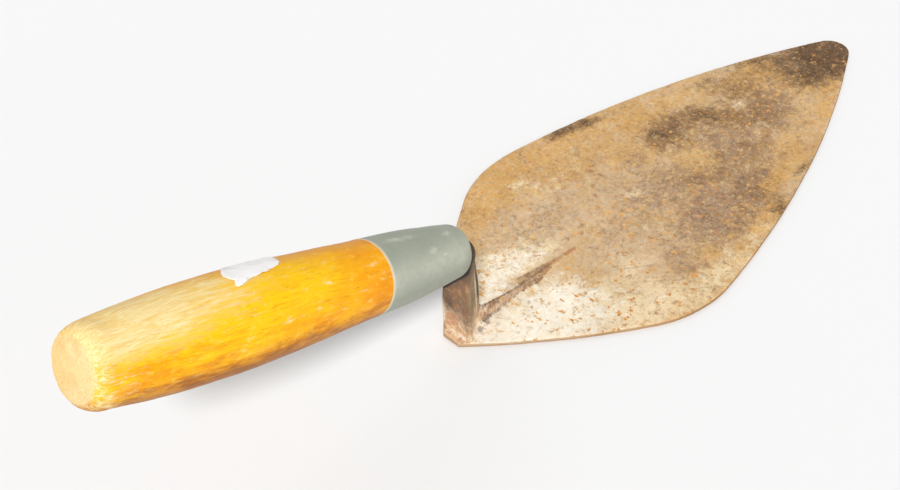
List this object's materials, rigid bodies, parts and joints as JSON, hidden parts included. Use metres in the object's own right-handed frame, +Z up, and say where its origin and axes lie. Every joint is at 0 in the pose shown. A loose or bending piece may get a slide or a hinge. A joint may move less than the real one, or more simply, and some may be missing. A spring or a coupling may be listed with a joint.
{
  "type": "bricklayer's trowel",
  "caption": "Bricklayer's trowel with a broad flat pointed blade, a goose-neck shank, a metal ferrule and a worn varnished wooden handle.",
  "frame": {"origin": "on the bench under the middle of the trowel's box, level with the blade's flat underside", "axes": "+X to the blade's tip, +Y to the left seen from the handle, +Z up, with the blade flat on Z = 0"},
  "size_m": [0.4374, 0.124, 0.1205],
  "materials": {
    "forged_steel": "old tool steel, stained tan and grey, with orange rust pits and worn bright places",
    "resin": "cured amber glue",
    "ferrule_metal": "dull grey-green plated metal, lightly scuffed",
    "varnished_wood": "amber varnish worn through to pale wood along the top and at the butt",
    "paper": "torn blank white paper"
  },
  "bodies": {
    "root": {"blade": "forged_steel", "tang_bedding": "resin", "ferrule": "ferrule_metal", "handle": "varnished_wood", "label_remnant": "paper"}
  },
  "joints": []
}
